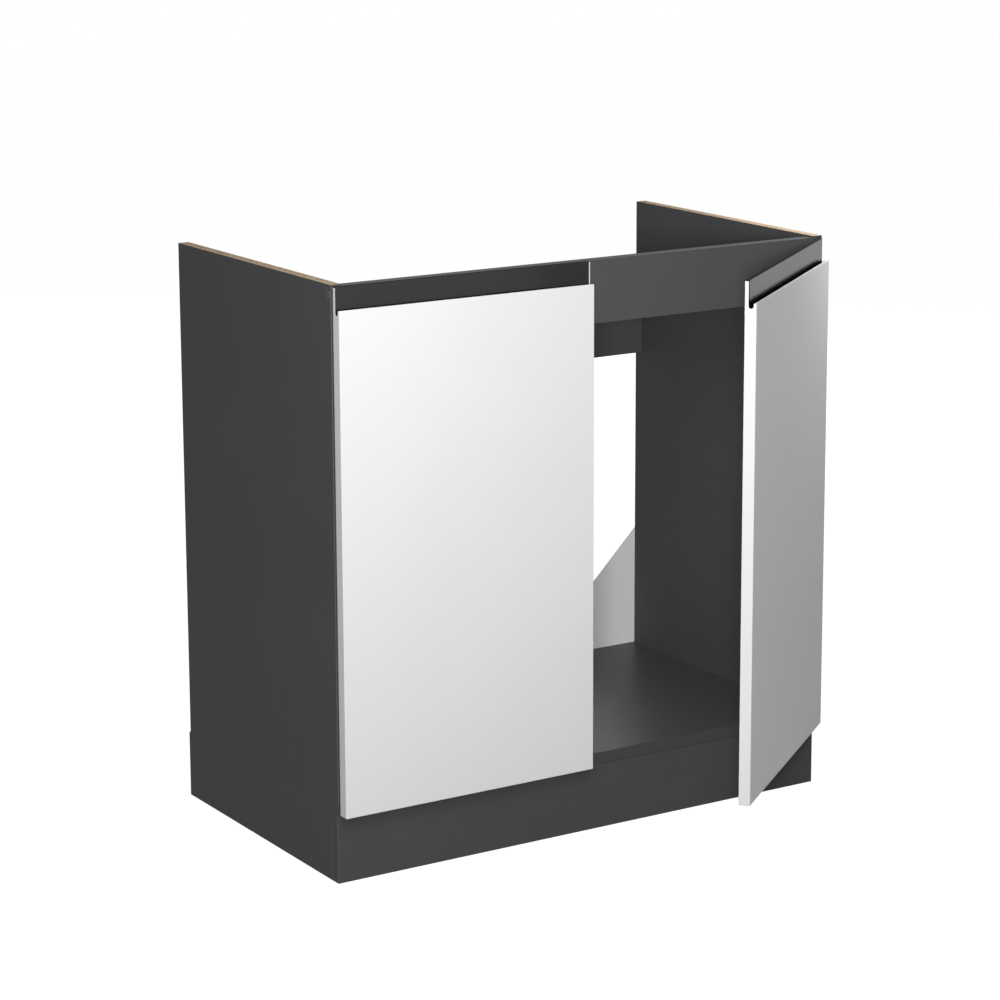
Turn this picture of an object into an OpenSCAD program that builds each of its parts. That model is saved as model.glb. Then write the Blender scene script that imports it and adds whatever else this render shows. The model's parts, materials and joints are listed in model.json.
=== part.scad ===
// Sink base cabinet: an open-topped, open-backed carcass on a boxed plinth,
// closed by two overlay doors with J-shaped finger grips and concealed hinges.
// Frame: X to the right, Y into the cabinet, Z up.
// Origin: middle of the underside of the front plinth board.

/* [Cabinet] */
// Overall width over the side panels
cabinet_w = 800; // [600:10:1000]
// Height from the floor to the top edges of the side panels
cabinet_h = 816; // [790:2:900]
// Depth of the side panels and the bottom panel
carcass_d = 442; // [400:2:560]
// Thickness of the carcass boards
board_t = 16; // [15:0.5:19]
// Height of the plinth box under the carcass
plinth_h = 96; // [80:2:120]
// Step of the plinth front behind the carcass front
plinth_setback = 2.5; // [1:0.5:6]
// Amount by which the plinth box passes the back of the side panels
plinth_overhang = 4; // [0:0.5:8]
// Thickness of the glued front edge bands
edge_band_t = 0.8; // [0.5:0.1:2]

/* [Rails] */
// Height of the front and back top rails
rail_h = 88; // [70:2:110]
// Step of the front rail's top below the side panels' top
rail_drop = 2; // [0:0.5:5]
// Step of the back rail's top below the side panels' top
back_rail_drop = 146; // [90:2:240]

/* [Back gussets] */
// Leg length of the triangular hardboard gussets
gusset_leg = 207; // [150:1:260]
// Thickness of the gussets
gusset_t = 3; // [2.5:0.5:3.5]
// Step of a gusset's edges inside the carcass outline
gusset_inset = 5; // [2:0.5:8]

/* [Doors] */
// Thickness of the doors
door_t = 16; // [16:0.5:19]
// Step of the doors' top below the front rail's top
door_top_drop = 0; // [0:0.5:4]
// Height of the doors' bottom edges above the plinth's top
door_rise = 0.5; // [0:0.5:4]
// Gap between a door and the side panel's outer face
door_side_gap = 2; // [1:0.5:3]
// Gap between the two doors
door_middle_gap = 4; // [3:0.5:5]
// Gap between the closed doors and the carcass
door_back_gap = 2; // [1.8:0.1:3]
// Opening angle of the left door at rest
left_rest_angle = 0; // [0:1:60]
// Opening angle of the right door at rest
right_rest_angle = 38.2; // [0:0.1:60]

/* [Finger grip] */
// Thickness of the door's back leaf behind the grip
leaf_t = 5; // [4:0.5:6]
// Height of the back leaf above the front lip
leaf_rise = 30; // [22:1:36]
// Width of the groove between the back leaf and the front lip
groove_w = 7; // [6:0.5:8]
// Depth of the groove below the front lip's top
groove_depth = 7.5; // [7:0.5:12]
// Wall of the metal grip profile
grip_t = 1.2; // [0.8:0.1:1.2]
// Step of the grip profile's left end inside the door's edge
grip_left_step = 0.3; // [0.2:0.1:3]
// Step of the grip profile's right end inside the door's edge
grip_right_step = 2.5; // [0.2:0.1:3]

/* [Hinges] */
// Height of the lower hinge's middle above the door's bottom edge
hinge_low = 92; // [80:1:140]
// Distance of the upper hinge's middle below the front lip's top
hinge_high = 92; // [80:1:140]
// Diameter of the cup bores in the doors
cup_d = 35; // [35:0.1:35.4]
// Depth of the cup bores
cup_depth = 12; // [12:0.1:12.8]
// Distance from a door's hinge edge to the cup bore
cup_edge = 3; // [2.8:0.1:3]
// Radius of the hinge pins
pin_r = 1; // [0.9:0.05:1]
// Radial running clearance on the hinge pins
pin_gap = 0.05; // [0.03:0.01:0.09]
// Radial clearance at the opened pivot of the front links
open_pivot_gap = 0.65; // [0.6:0.05:0.7]

/* [Hidden] */

// Smoothness of bores, pins and screws
$fn = 48;
// Overrun that lets a cut pass clean through its face
cut = 1;
// Clearance of glued dowels and driven screws in their holes
fit_gap = 0.1;

// Colours as the photo shows them
melamine = [0.25, 0.25, 0.26];
band_grey = [0.33, 0.33, 0.34];
door_white = [0.95, 0.95, 0.95];
grip_grey = [0.24, 0.24, 0.25];
hardboard = [0.67, 0.66, 0.64];
nickel = [0.72, 0.72, 0.7];
zinc = [0.62, 0.62, 0.6];
clear_pad = [0.85, 0.87, 0.88];
beech = [0.78, 0.64, 0.46];

// Carcass planes
half_w = cabinet_w / 2;
inner_x = half_w - board_t;
board_mid_x = half_w - board_t / 2;
front_y = -(plinth_setback + board_t / 2);
panel_front_y = front_y + edge_band_t;
back_y = front_y + carcass_d;
floor_z = plinth_h + board_t;
rail_top_z = cabinet_h - rail_drop;
rail_bottom_z = rail_top_z - rail_h;
back_rail_top_z = cabinet_h - back_rail_drop;
back_rail_z = back_rail_top_z - rail_h;
front_rail_y = front_y + board_t / 2;
back_rail_y = back_y - board_t / 2;

// Plinth box planes
plinth_front_y = -board_t / 2;
plinth_back_y = back_y + plinth_overhang;
plinth_side_front_y = plinth_front_y + board_t;
plinth_side_back_y = plinth_back_y - board_t;

// Long screws through the boards
screw_r = 2.5;
screw_head_r = 5;
screw_head_h = 3;
screw_l = 50;
rail_screw_drop = 11;
rail_screw_z = rail_top_z - rail_screw_drop;
cap_r = 6;
cap_t = 0.8;
side_screw_inset = 50;
side_screw_places = [front_y + side_screw_inset, (front_y + back_y) / 2, back_y - side_screw_inset];
plinth_screw_share = 0.25;
plinth_screw_z = [plinth_h * plinth_screw_share, plinth_h * (1 - plinth_screw_share)];

// Dowels in the rail ends and in the plinth joints
dowel_r = 4;
dowel_l = 28;
dowel_sink = 10;
dowel_inset = 20;
rail_dowel_places = [
    [front_rail_y, rail_bottom_z + dowel_inset],
    [back_rail_y, back_rail_z + dowel_inset],
    [back_rail_y, back_rail_top_z - dowel_inset]
];
plinth_dowel_share = 0.3;

// Nails of the gussets
nail_r = 0.8;
nail_l = 14;
nail_head_r = 1.8;
nail_head_t = 0.6;
nail_pitch = 55;
nail_count = 3;

// Doors in the closed position
door_w = half_w - door_side_gap - door_middle_gap / 2;
door_edge_x = half_w - door_side_gap;
door_back_y = front_y - door_back_gap;
door_front_y = door_back_y - door_t;
door_z = plinth_h + door_rise;
door_top_z = rail_top_z - door_top_drop;
leaf_top_z = door_top_z - grip_t;
lip_top_z = door_top_z - leaf_rise;
lip_bevel = 1.2;

// Pads that the doors close against
bumper_r = 4;
bumper_gap = 0.3;
bumper_t = door_back_gap - bumper_gap;
bumper_inset = 8;
bumper_foot = 7.5;
bumper_drop = 14;
bumper_heights = [door_z + bumper_foot, lip_top_z - bumper_drop];

// Round bottom of the grip groove, in the door's thickness and height
groove_r = groove_w / 2;
groove_mid_y = door_back_y - leaf_t - groove_r;
groove_mid_z = lip_top_z - groove_depth + groove_r;
grip_hook = groove_depth - groove_r - lip_bevel;

// Concealed hinge, with the door closed. The arm's pivots stand off the side panel
// and behind the carcass front; the cup's pivots lie in from the door's edge and back face.
rear_arm_off = 34;
rear_arm_in = 20;
front_arm_off = 16.5;
front_arm_out = 0.7;
rear_cup_edge = 7.2;
rear_cup_sink = 1.5;
front_cup_edge = 7.9;
front_cup_sink = 5.1;
rear_arm_pivot = [inner_x - rear_arm_off, front_y + rear_arm_in];
front_arm_pivot = [inner_x - front_arm_off, front_y - front_arm_out];
rear_cup_pivot = [door_edge_x - rear_cup_edge, door_back_y - rear_cup_sink];
front_cup_pivot = [door_edge_x - front_cup_edge, door_back_y - front_cup_sink];
// Turn of the links for each degree that the door opens
rear_link_share = -0.392;
front_link_share = -0.673;
// Bends that lead the links round the carcass corner and the door's edge
rear_bend_off = 5;
rear_bend_out = 2.5;
rear_hook_out = 7;
front_bend_off = 12;
front_bend_out = 9;
front_hook_off = 0.8;
front_hook_out = 11.7;
rear_link_route = [
    rear_arm_pivot,
    [inner_x - rear_bend_off, front_y - rear_bend_out],
    [inner_x, front_y - rear_hook_out],
    rear_cup_pivot
];
front_link_route = [
    front_arm_pivot,
    [inner_x - front_bend_off, front_y - front_bend_out],
    [inner_x + front_hook_off, front_y - front_hook_out],
    front_cup_pivot
];

// Layers of a hinge, counted up and down from its middle
layer_gap = 0.4;
link_sheet = 1.2;
front_link_half = 2.8;
ear_in = front_link_half + layer_gap;
ear_out = ear_in + link_sheet;
rear_link_in = ear_out + layer_gap;
rear_link_out = rear_link_in + link_sheet;
lug_in = rear_link_out + layer_gap;
pin_lug_grip = 2;
cup_pin_half = lug_in + pin_lug_grip;

// Links and their eyes
rear_link_w = 2.4;
front_link_w = 1.8;
cup_eye_r = 1.9;
open_eye_r = 2.7;
nose_r = 2.4;
root_eye_r = 3.2;

// Hinge cup
cup_wall = 0.6;
cup_bore_gap = 0.1;
cup_out_r = cup_d / 2 - cup_bore_gap;
cup_in_r = cup_out_r - cup_wall;
cup_x = door_edge_x - cup_edge - cup_d / 2;
flange_t = 1;
flange_r = 19;
lug_back = 2.6;
ear_screw_off = 9.5;
ear_screw_pitch = 45;
ear_plate_half = 5.5;
cup_screw_x = cup_x - ear_screw_off;

// Short wood screws of the cups and the mounting plates
wood_screw_r = 1.8;
wood_screw_l = 10;
wood_screw_head_r = 3.2;
wood_screw_head_h = 1.2;

// Mounting plate: a base with two wings and a block that carries the arm
plate_t = 2.2;
plate_front_in = 28;
plate_back_in = 68;
block_front_in = 30;
block_back_in = 66;
block_half = 6;
wing_half = 23;
wing_front_in = 29;
wing_back_in = 45;
plate_screw_in = 37;
plate_screw_pitch = 32;
plate_screw_y = front_y + plate_screw_in;

// Arm: two ears under a top sheet, seated on the block
arm_sheet = 1.6;
arm_rise = 4;
arm_side = 7.6;
arm_top_x = rear_arm_pivot[0] - arm_rise;
arm_seat_x = rear_arm_pivot[0] + arm_side;
arm_front_y = rear_arm_pivot[1] - arm_rise;
arm_back_in = 64;
arm_screw_in = 52;
arm_back_y = front_y + arm_back_in;
arm_screw_y = front_y + arm_screw_in;
arm_screw_r = 2;
arm_screw_head_r = 3.6;
arm_screw_head_h = 2;
arm_screw_grip = 9;

hinge_heights = [door_z + hinge_low, lip_top_z - hinge_high];
low = 0;
high = 1;

function turned(p, a) = [p[0] * cos(a) - p[1] * sin(a), p[0] * sin(a) + p[1] * cos(a)];
// Place of the rear cup pivot when the door stands at an angle
function rear_pivot_at(a) =
    rear_arm_pivot + turned(rear_cup_pivot - rear_arm_pivot, rear_link_share * a);

echo(rear_arm_pivot = rear_arm_pivot);
echo(front_arm_pivot = front_arm_pivot);
echo(rear_cup_pivot_closed = rear_cup_pivot);
echo(rear_cup_pivot_at_rest = rear_pivot_at(right_rest_angle));
echo(lip_top_z = lip_top_z, door_top_z = door_top_z, groove_mid_y = groove_mid_y);
echo(hinge_heights = hinge_heights);

// Boxes, rods and placing

module block(from, to) {
    translate(from)
        cube(to - from);
}

module rod_x(place, r, length) {
    translate(place)
        rotate([0, 90, 0])
            cylinder(r = r, h = length);
}

module rod_y(place, r, length) {
    translate(place)
        rotate([-90, 0, 0])
            cylinder(r = r, h = length);
}

module rod_z(place, r, length) {
    translate(place)
        cylinder(r = r, h = length);
}

// A right-hand shape on the right and mirrored on the left
module both_sides() {
    children();
    mirror([1, 0, 0])
        children();
}

// A right-hand shape, kept on the right or mirrored to the left
module on_side(is_left) {
    if (is_left)
        mirror([1, 0, 0])
            children();
    else
        children();
}

function rest_angle(is_left) = is_left ? left_rest_angle : right_rest_angle;

// What is drawn with the right door closed, moved to where its door rests
module in_door(is_left) {
    a = rest_angle(is_left);
    p = rear_pivot_at(a);
    on_side(is_left)
        translate([p[0], p[1], 0])
            rotate([0, 0, a])
                translate([-rear_cup_pivot[0], -rear_cup_pivot[1], 0])
                    children();
}

// What is drawn with the right door closed, turned with its door about a pivot of the arm
module in_link(is_left, pivot, share) {
    on_side(is_left)
        translate([pivot[0], pivot[1], 0])
            rotate([0, 0, share * rest_angle(is_left)])
                translate([-pivot[0], -pivot[1], 0])
                    children();
}

// Carcass

// Right-hand holes for the rail's screw and dowels
module rail_joint_holes() {
    rod_x([half_w - screw_l, front_rail_y, rail_screw_z], screw_r, screw_l + cut);
    rod_x([half_w - screw_head_h, front_rail_y, rail_screw_z], screw_head_r,
        screw_head_h + cut);
    for (p = rail_dowel_places)
        rod_x([inner_x - dowel_l + dowel_sink - fit_gap, p[0], p[1]], dowel_r,
            dowel_l + 2 * fit_gap);
}

// Right-hand holes for the screws that rise through the bottom panel
module side_screw_holes() {
    for (y = side_screw_places) {
        rod_z([board_mid_x, y, plinth_h - cut], screw_r, screw_l + cut);
        rod_z([board_mid_x, y, plinth_h - cut], screw_head_r, screw_head_h + cut);
    }
}

module side_panel() {
    color(melamine)
        difference() {
            block([inner_x, panel_front_y, floor_z], [half_w, back_y, cabinet_h]);
            rail_joint_holes();
            side_screw_holes();
            nail_rods(nail_r + fit_gap, nail_l);
            for (z = hinge_heights, s = [-1, 1])
                rod_x([inner_x - cut, plate_screw_y, z + s * plate_screw_pitch / 2],
                    wood_screw_r, wood_screw_l + cut);
        }
}

module left_side_panel() {
    mirror([1, 0, 0])
        side_panel();
}

module right_side_panel() {
    side_panel();
}

module bottom_panel() {
    color(melamine)
        difference() {
            block([-half_w, panel_front_y, plinth_h], [half_w, back_y, floor_z]);
            both_sides() {
                side_screw_holes();
                nail_rods(nail_r + fit_gap, nail_l);
            }
            plinth_dowel_rods(fit_gap);
        }
}

module edge_band() {
    color(band_grey)
        block([inner_x, front_y, floor_z], [half_w, panel_front_y, cabinet_h]);
}

module left_edge_band() {
    mirror([1, 0, 0])
        edge_band();
}

module right_edge_band() {
    edge_band();
}

module bottom_edge_band() {
    color(band_grey)
        block([-half_w, front_y, plinth_h], [half_w, panel_front_y, floor_z]);
}

module front_top_rail() {
    color(melamine)
        difference() {
            block([-inner_x, front_y, rail_bottom_z], [inner_x, front_y + board_t, rail_top_z]);
            both_sides()
                rail_joint_holes();
        }
}

module back_rail() {
    color(melamine)
        difference() {
            block([-inner_x, back_y - board_t, back_rail_z], [inner_x, back_y, back_rail_top_z]);
            both_sides()
                rail_joint_holes();
        }
}

// Plinth box

// Dowels that tie the plinth box to the bottom panel and its front board to its sides
module plinth_dowel_rods(gap) {
    base_z = plinth_h - dowel_l + dowel_sink - gap;
    length = dowel_l + 2 * gap;
    for (s = [-1, 1]) {
        rod_z([s * half_w / 2, 0, base_z], dowel_r, length);
        for (share = [plinth_dowel_share, 1 - plinth_dowel_share])
            rod_z([s * board_mid_x, front_y + carcass_d * share, base_z], dowel_r, length);
        for (z = plinth_screw_z)
            rod_y([s * board_mid_x, plinth_side_front_y - dowel_sink - gap, z], dowel_r, length);
    }
}

// Right-hand holes for the screws through the back board
module plinth_screw_holes() {
    for (z = plinth_screw_z) {
        rod_y([board_mid_x, plinth_back_y - screw_l, z], screw_r, screw_l + cut);
        rod_y([board_mid_x, plinth_back_y - screw_head_h, z], screw_head_r, screw_head_h + cut);
    }
}

module plinth_front_board() {
    color(melamine)
        difference() {
            block([-half_w, plinth_front_y, 0], [half_w, plinth_side_front_y, plinth_h]);
            plinth_dowel_rods(fit_gap);
        }
}

module plinth_back_board() {
    color(melamine)
        difference() {
            block([-half_w, plinth_side_back_y, 0], [half_w, plinth_back_y, plinth_h]);
            both_sides()
                plinth_screw_holes();
        }
}

module plinth_side_board() {
    color(melamine)
        difference() {
            block([inner_x, plinth_side_front_y, 0], [half_w, plinth_side_back_y, plinth_h]);
            plinth_screw_holes();
            plinth_dowel_rods(fit_gap);
        }
}

module plinth_left_board() {
    mirror([1, 0, 0])
        plinth_side_board();
}

module plinth_right_board() {
    plinth_side_board();
}

// Back gussets

// Nail places on the right-hand gusset: up the side panel and along the bottom panel
nail_side_x = inner_x + (board_t - gusset_inset) / 2;
nail_bottom_z = floor_z - (board_t - gusset_inset) / 2;
nail_places = concat(
    [for (i = [1:nail_count]) [nail_side_x, nail_bottom_z + i * nail_pitch]],
    [for (i = [0:nail_count]) [nail_side_x - i * nail_pitch, nail_bottom_z]]
);

module nail_rods(r, length) {
    for (p = nail_places)
        rod_y([p[0], back_y + gusset_t - length, p[1]], r, length + cut);
}

module gusset() {
    corner_x = half_w - gusset_inset;
    corner_z = plinth_h + gusset_inset;
    color(hardboard)
        difference() {
            translate([0, back_y + gusset_t, 0])
                rotate([90, 0, 0])
                    linear_extrude(gusset_t)
                        polygon([
                            [corner_x, corner_z],
                            [corner_x, corner_z + gusset_leg],
                            [corner_x - gusset_leg, corner_z]
                        ]);
            nail_rods(nail_r + fit_gap, nail_l);
        }
}

module left_back_gusset() {
    mirror([1, 0, 0])
        gusset();
}

module right_back_gusset() {
    gusset();
}

module gusset_nails() {
    color(zinc)
        both_sides()
            for (p = nail_places) {
                rod_y([p[0], back_y + gusset_t - nail_l + fit_gap, p[1]], nail_r,
                    nail_l - fit_gap);
                rod_y([p[0], back_y + gusset_t, p[1]], nail_head_r, nail_head_t);
            }
}

// Screws, caps and dowels

module rail_screws() {
    color(zinc)
        both_sides() {
            rod_x([half_w - screw_l + fit_gap, front_rail_y, rail_screw_z], screw_r - fit_gap,
                screw_l - fit_gap);
            rod_x([half_w - screw_head_h, front_rail_y, rail_screw_z], screw_head_r - fit_gap,
                screw_head_h);
        }
}

module rail_screw_caps() {
    color(melamine)
        both_sides()
            rod_x([half_w, front_rail_y, rail_screw_z], cap_r, cap_t);
}

module side_panel_screws() {
    color(zinc)
        both_sides()
            for (y = side_screw_places) {
                rod_z([board_mid_x, y, plinth_h], screw_r - fit_gap, screw_l - cut - fit_gap);
                rod_z([board_mid_x, y, plinth_h], screw_head_r - fit_gap, screw_head_h);
            }
}

module plinth_screws() {
    color(zinc)
        both_sides()
            for (z = plinth_screw_z) {
                rod_y([board_mid_x, plinth_back_y - screw_l + fit_gap, z], screw_r - fit_gap,
                    screw_l - fit_gap);
                rod_y([board_mid_x, plinth_back_y - screw_head_h, z], screw_head_r - fit_gap,
                    screw_head_h);
            }
}

module rail_dowels() {
    color(beech)
        both_sides()
            for (p = rail_dowel_places)
                rod_x([inner_x - dowel_l + dowel_sink, p[0], p[1]], dowel_r - fit_gap, dowel_l);
}

module plinth_dowels() {
    color(beech)
        plinth_dowel_rods(0);
}

// Doors, drawn as the closed right door

// The metal profile, drawn in Y and Z: a J in the groove and a cap over the back leaf's top
module grip_outline() {
    leg_front_y = door_back_y - leaf_t - grip_t;
    hook_y = door_back_y - leaf_t - groove_w;
    difference() {
        translate([groove_mid_y, groove_mid_z])
            circle(groove_r - fit_gap);
        translate([groove_mid_y, groove_mid_z])
            circle(groove_r - grip_t);
        translate([groove_mid_y - groove_w, groove_mid_z])
            square([2 * groove_w, groove_w]);
    }
    translate([leg_front_y, groove_mid_z])
        square([grip_t - fit_gap, door_top_z - groove_mid_z]);
    translate([leg_front_y, leaf_top_z + fit_gap])
        square([grip_t + leaf_t, grip_t - fit_gap]);
    translate([hook_y + fit_gap, groove_mid_z])
        square([grip_t - fit_gap, grip_hook]);
}

// Runs an outline drawn in Y and Z along X
module along_x(from_x, to_x) {
    translate([from_x, 0, 0])
        rotate([90, 0, 90])
            linear_extrude(to_x - from_x)
                children();
}

module door_outline() {
    leaf_front_y = door_back_y - leaf_t;
    lip_back_y = leaf_front_y - groove_w;
    difference() {
        translate([door_front_y, door_z])
            square([door_t, leaf_top_z - door_z]);
        translate([door_front_y - cut, lip_top_z])
            square([door_t - leaf_t + cut, leaf_rise + cut]);
        translate([lip_back_y, groove_mid_z])
            square([groove_w, lip_top_z - groove_mid_z + cut]);
        translate([groove_mid_y, groove_mid_z])
            circle(groove_r);
        polygon([
            [lip_back_y + cut, lip_top_z - lip_bevel - cut],
            [lip_back_y + cut, lip_top_z + cut],
            [lip_back_y - lip_bevel - cut, lip_top_z + cut]
        ]);
    }
}

module door_blank() {
    color(door_white)
        difference() {
            along_x(door_edge_x - door_w, door_edge_x)
                door_outline();
            for (z = hinge_heights) {
                rod_y([cup_x, door_back_y - cup_depth, z], cup_d / 2, cup_depth + cut);
                for (s = [-1, 1])
                    rod_y([cup_screw_x, door_back_y - wood_screw_l, z + s * ear_screw_pitch / 2],
                        wood_screw_r, wood_screw_l + cut);
            }
        }
}

module left_door() {
    in_door(true)
        door_blank();
}

module right_door() {
    in_door(false)
        door_blank();
}

module grip_profile(middle_step, hinge_step) {
    color(grip_grey)
        along_x(door_edge_x - door_w + middle_step, door_edge_x - hinge_step)
            grip_outline();
}

module left_grip_profile() {
    in_door(true)
        grip_profile(grip_right_step, grip_left_step);
}

module right_grip_profile() {
    in_door(false)
        grip_profile(grip_left_step, grip_right_step);
}

module door_bumpers() {
    color(clear_pad)
        for (z = bumper_heights)
            rod_y([door_edge_x - door_w + bumper_inset, door_back_y, z], bumper_r, bumper_t);
}

module left_door_bumpers() {
    in_door(true)
        door_bumpers();
}

module right_door_bumpers() {
    in_door(false)
        door_bumpers();
}

// Hinges, drawn at the closed right door

module hinge_cup(level) {
    z = hinge_heights[level];
    lug_x = rear_cup_pivot[0] - lug_back;
    color(nickel)
        difference() {
            union() {
                difference() {
                    union() {
                        rod_y([cup_x, door_back_y - cup_depth + cup_bore_gap, z], cup_out_r,
                            cup_depth - cup_bore_gap);
                        rod_y([cup_x, door_back_y, z], flange_r, flange_t);
                        block([cup_screw_x - ear_plate_half, door_back_y,
                                z - ear_screw_pitch / 2 - ear_plate_half],
                            [cup_screw_x + ear_plate_half, door_back_y + flange_t,
                                z + ear_screw_pitch / 2 + ear_plate_half]);
                    }
                    rod_y([cup_x, door_back_y - cup_depth + cup_bore_gap + cup_wall, z],
                        cup_in_r, cup_depth + flange_t);
                }
                // Lugs that hold the ends of the cup's pins
                intersection() {
                    rod_y([cup_x, door_back_y - cup_depth + cup_bore_gap, z],
                        cup_in_r + cup_wall / 2, cup_depth + flange_t - cup_bore_gap);
                    for (s = [0, 1])
                        translate([0, 0, z])
                            mirror([0, 0, s])
                                block([lug_x, door_back_y - cup_depth, lug_in],
                                    [door_edge_x, door_back_y + flange_t, cup_d]);
                }
            }
            for (p = [rear_cup_pivot, front_cup_pivot])
                rod_z([p[0], p[1], z - cup_pin_half - pin_gap], pin_r + pin_gap,
                    2 * (cup_pin_half + pin_gap));
            for (s = [-1, 1])
                rod_y([cup_screw_x, door_back_y - cut, z + s * ear_screw_pitch / 2],
                    wood_screw_r, flange_t + 2 * cut);
        }
}

module upper_left_hinge_cup() {
    in_door(true)
        hinge_cup(high);
}

module lower_left_hinge_cup() {
    in_door(true)
        hinge_cup(low);
}

module upper_right_hinge_cup() {
    in_door(false)
        hinge_cup(high);
}

module lower_right_hinge_cup() {
    in_door(false)
        hinge_cup(low);
}

// One long pin through the front link, and two short ones for the rear links
module cup_pins() {
    rear_pin_in = ear_out + layer_gap / 2;
    color(zinc)
        for (z = hinge_heights) {
            rod_z([front_cup_pivot[0], front_cup_pivot[1], z - cup_pin_half], pin_r,
                2 * cup_pin_half);
            for (s = [0, 1])
                translate([rear_cup_pivot[0], rear_cup_pivot[1], z])
                    mirror([0, 0, s])
                        rod_z([0, 0, rear_pin_in], pin_r, cup_pin_half - rear_pin_in);
        }
}

module left_cup_pins() {
    in_door(true)
        cup_pins();
}

module right_cup_pins() {
    in_door(false)
        cup_pins();
}

module cup_screws() {
    color(nickel)
        for (z = hinge_heights, s = [-1, 1]) {
            rod_y([cup_screw_x, door_back_y - wood_screw_l + fit_gap,
                z + s * ear_screw_pitch / 2], wood_screw_r - fit_gap,
                wood_screw_l + flange_t);
            rod_y([cup_screw_x, door_back_y + flange_t, z + s * ear_screw_pitch / 2],
                wood_screw_head_r, wood_screw_head_h);
        }
}

module left_cup_screws() {
    in_door(true)
        cup_screws();
}

module right_cup_screws() {
    in_door(false)
        cup_screws();
}

// Sideways direction of a run of the plan
function across(p, q) = [p[1] - q[1], q[0] - p[0]] / norm(q - p);

// Corner of a bent strip's edge, mitred where its route turns
function edge_corner(route, i, off) =
    let (before = across(route[max(i - 1, 0)], route[max(i, 1)]),
        last = len(route) - 1,
        after = across(route[min(i, last - 1)], route[min(i + 1, last)]),
        both = before + after)
    route[i] + 2 * off * both / (both * both);

// A bent strip along a route of the plan
module bent_strip(route, w) {
    last = len(route) - 1;
    polygon(concat(
        [for (i = [0:last]) edge_corner(route, i, w / 2)],
        [for (i = [last:-1:0]) edge_corner(route, i, -w / 2)]
    ));
}

// Stands an outline of the plan up between two heights
module between(from_z, to_z) {
    translate([0, 0, from_z])
        linear_extrude(to_z - from_z)
            children();
}

// Repeats a piece above and below a hinge's middle
module above_and_below(z) {
    for (s = [0, 1])
        translate([0, 0, z])
            mirror([0, 0, s])
                children();
}

module rear_links(level) {
    color(nickel)
        above_and_below(hinge_heights[level])
            between(rear_link_in, rear_link_out)
                difference() {
                    union() {
                        bent_strip(rear_link_route, rear_link_w);
                        translate(rear_arm_pivot)
                            circle(root_eye_r);
                        translate(rear_cup_pivot)
                            circle(cup_eye_r);
                    }
                    translate(rear_arm_pivot)
                        circle(pin_r + pin_gap);
                    translate(rear_cup_pivot)
                        circle(pin_r + pin_gap);
                }
}

module upper_left_rear_links() {
    in_link(true, rear_arm_pivot, rear_link_share)
        rear_links(high);
}

module lower_left_rear_links() {
    in_link(true, rear_arm_pivot, rear_link_share)
        rear_links(low);
}

module upper_right_rear_links() {
    in_link(false, rear_arm_pivot, rear_link_share)
        rear_links(high);
}

module lower_right_rear_links() {
    in_link(false, rear_arm_pivot, rear_link_share)
        rear_links(low);
}

module front_link(level) {
    z = hinge_heights[level];
    color(nickel)
        between(z - front_link_half, z + front_link_half)
            difference() {
                union() {
                    bent_strip(front_link_route, front_link_w);
                    translate(front_arm_pivot)
                        circle(nose_r);
                    translate(front_cup_pivot)
                        circle(open_eye_r);
                }
                translate(front_arm_pivot)
                    circle(pin_r + pin_gap);
                translate(front_cup_pivot)
                    circle(pin_r + open_pivot_gap);
            }
}

module upper_left_front_link() {
    in_link(true, front_arm_pivot, front_link_share)
        front_link(high);
}

module lower_left_front_link() {
    in_link(true, front_arm_pivot, front_link_share)
        front_link(low);
}

module upper_right_front_link() {
    in_link(false, front_arm_pivot, front_link_share)
        front_link(high);
}

module lower_right_front_link() {
    in_link(false, front_arm_pivot, front_link_share)
        front_link(low);
}

// Outline of an arm's ear in plan, from the top sheet to the nose
module ear_outline() {
    difference() {
        union() {
            polygon([
                [arm_top_x, arm_back_y],
                [arm_top_x, arm_front_y],
                front_arm_pivot - [nose_r, 0],
                front_arm_pivot + [nose_r, 0],
                [arm_seat_x, rear_arm_pivot[1]],
                [arm_seat_x, arm_back_y]
            ]);
            translate(front_arm_pivot)
                circle(nose_r);
        }
        for (p = [rear_arm_pivot, front_arm_pivot])
            translate(p)
                circle(pin_r + pin_gap);
    }
}

module hinge_arm(level) {
    z = hinge_heights[level];
    color(nickel)
        difference() {
            union() {
                above_and_below(z)
                    between(ear_in, ear_out)
                        ear_outline();
                block([arm_top_x - arm_sheet, arm_front_y, z - ear_out],
                    [arm_top_x, arm_back_y, z + ear_out]);
            }
            rod_x([arm_top_x - arm_sheet - cut, arm_screw_y, z], arm_screw_r + fit_gap,
                arm_sheet + 2 * cut);
        }
}

module upper_left_hinge_arm() {
    on_side(true)
        hinge_arm(high);
}

module lower_left_hinge_arm() {
    on_side(true)
        hinge_arm(low);
}

module upper_right_hinge_arm() {
    on_side(false)
        hinge_arm(high);
}

module lower_right_hinge_arm() {
    on_side(false)
        hinge_arm(low);
}

module mounting_plate(level) {
    z = hinge_heights[level];
    base_x = inner_x - plate_t;
    color(nickel)
        difference() {
            union() {
                block([base_x, front_y + plate_front_in, z - block_half],
                    [inner_x, front_y + plate_back_in, z + block_half]);
                block([base_x, front_y + wing_front_in, z - wing_half],
                    [inner_x, front_y + wing_back_in, z + wing_half]);
                block([arm_seat_x, front_y + block_front_in, z - block_half],
                    [base_x, front_y + block_back_in, z + block_half]);
            }
            for (s = [-1, 1])
                rod_x([base_x - cut, plate_screw_y, z + s * plate_screw_pitch / 2],
                    wood_screw_r, plate_t + 2 * cut);
            rod_x([arm_seat_x - cut, arm_screw_y, z], arm_screw_r + fit_gap,
                arm_screw_grip + cut);
        }
}

module upper_left_mounting_plate() {
    on_side(true)
        mounting_plate(high);
}

module lower_left_mounting_plate() {
    on_side(true)
        mounting_plate(low);
}

module upper_right_mounting_plate() {
    on_side(false)
        mounting_plate(high);
}

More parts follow.
